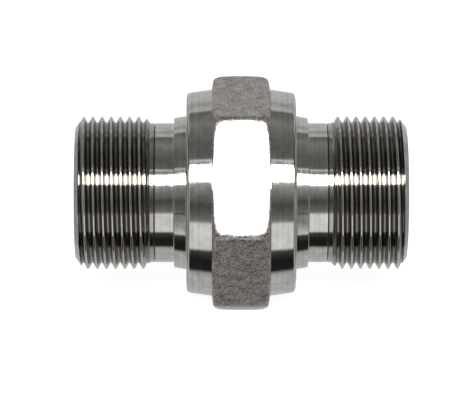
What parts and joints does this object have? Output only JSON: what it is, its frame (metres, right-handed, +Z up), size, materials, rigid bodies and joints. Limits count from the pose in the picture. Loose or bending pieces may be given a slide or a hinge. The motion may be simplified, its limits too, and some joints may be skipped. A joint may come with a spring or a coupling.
{
  "type": "pipe nipple",
  "caption": "Stainless steel hexagon pipe nipple: parallel pipe thread on both ends, conical collars at the hexagon and a through bore with cone seats.",
  "frame": {"origin": "middle of the piece, on the axis of the bore", "axes": "+X along the bore; +Z up, out of one flat of the hexagon, so that the nipple lies on the opposite flat; corners of the hexagon point along +Y and -Y"},
  "size_m": [0.0654, 0.0466, 0.0408],
  "materials": {
    "stainless_steel": "bare stainless steel: collars, necks and threads turned with fine rings of tool marks, hexagon left matt and grainy as forged"
  },
  "bodies": {
    "root": {"nipple_body": "stainless_steel"}
  },
  "joints": []
}
